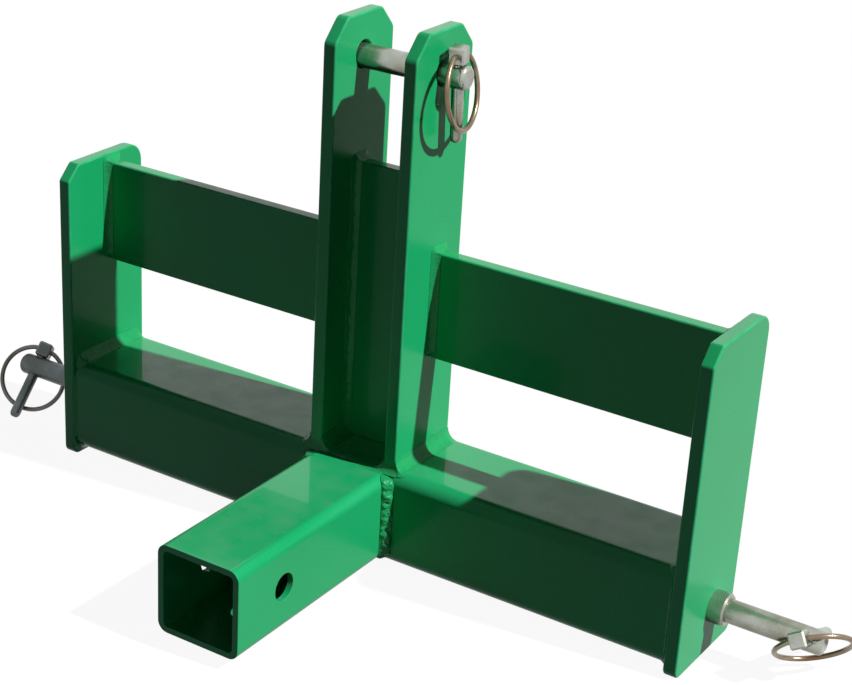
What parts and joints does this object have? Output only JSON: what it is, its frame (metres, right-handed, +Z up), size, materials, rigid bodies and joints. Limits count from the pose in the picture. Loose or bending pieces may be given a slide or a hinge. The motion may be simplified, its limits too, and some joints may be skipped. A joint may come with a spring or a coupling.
{
  "type": "tractor receiver drawbar",
  "caption": "Welded tractor drawbar: cross tube between end plates, mast uprights with brace bars, square receiver tube, hitch pins and a top link pin held by linch pins.",
  "frame": {"origin": "centre of the receiver tube's cross-pin hole", "axes": "+X to the right along the cross-pin hole, +Y away from the receiver's mouth, +Z up"},
  "size_m": [0.6942, 0.2497, 0.3715],
  "materials": {
    "green_paint": "gloss powder coat",
    "zinc_plate": "bright zinc plate",
    "spring_steel": "plated spring wire"
  },
  "bodies": {
    "frame": {"cross_tube": "green_paint", "receiver_tube": "green_paint", "left_end_plate": "green_paint", "right_end_plate": "green_paint", "left_upright": "green_paint", "right_upright": "green_paint", "centre_web_plate": "green_paint", "left_brace_bar": "green_paint", "right_brace_bar": "green_paint", "left_hitch_pin": "zinc_plate", "right_hitch_pin": "zinc_plate", "receiver_welds": "green_paint", "upright_welds": "green_paint", "web_welds": "green_paint", "brace_welds": "green_paint", "end_plate_welds": "green_paint"},
    "top_pin": {"top_link_pin": "zinc_plate"},
    "top_linch": {"top_linch_pin": "zinc_plate"},
    "top_ring": {"top_linch_ring": "spring_steel"},
    "left_linch": {"left_linch_pin": "zinc_plate"},
    "left_ring": {"left_linch_ring": "spring_steel"},
    "right_linch": {"right_linch_pin": "zinc_plate"},
    "right_ring": {"right_linch_ring": "spring_steel"}
  },
  "joints": [
    {"name": "top_pin_turn", "type": "hinge", "parent": "frame", "child": "top_pin", "pos_m": [0, 0.1531, 0.30159], "axis": [1, 0, 0], "continuous": true},
    {"name": "left_linch_pull", "type": "slide", "parent": "frame", "child": "left_linch", "axis": [0, 0.6561, 0.7547], "range_m": [0, 0.07]},
    {"name": "left_ring_flip", "type": "hinge", "parent": "left_linch", "child": "left_ring", "pos_m": [-0.3245, 0.16978, 0.0033], "axis": [0.9063, 0.319, -0.2773], "range_deg": [0, 120]},
    {"name": "right_linch_pull", "type": "slide", "parent": "frame", "child": "right_linch", "axis": [0, -0.9304, 0.3665], "range_m": [0, 0.07]},
    {"name": "right_ring_flip", "type": "hinge", "parent": "right_linch", "child": "right_ring", "pos_m": [0.3175, 0.14782, -0.00208], "axis": [-0.8572, -0.1888, -0.4792], "range_deg": [0, 120]},
    {"name": "top_linch_pull", "type": "slide", "parent": "top_pin", "child": "top_linch", "axis": [0, -0.0523, 0.9986], "range_m": [0, 0.07]},
    {"name": "top_ring_flip", "type": "hinge", "parent": "top_linch", "child": "top_ring", "pos_m": [0.0448, 0.15238, 0.31541], "axis": [0.165, -0.9849, -0.0516], "range_deg": [0, 120]}
  ],
  "couplings": [
    {"joint": "left_ring_flip", "follows": "left_linch_pull", "rad_per_m": 29.5},
    {"joint": "right_ring_flip", "follows": "right_linch_pull", "rad_per_m": 29.5},
    {"joint": "top_ring_flip", "follows": "top_linch_pull", "rad_per_m": 29.5}
  ]
}
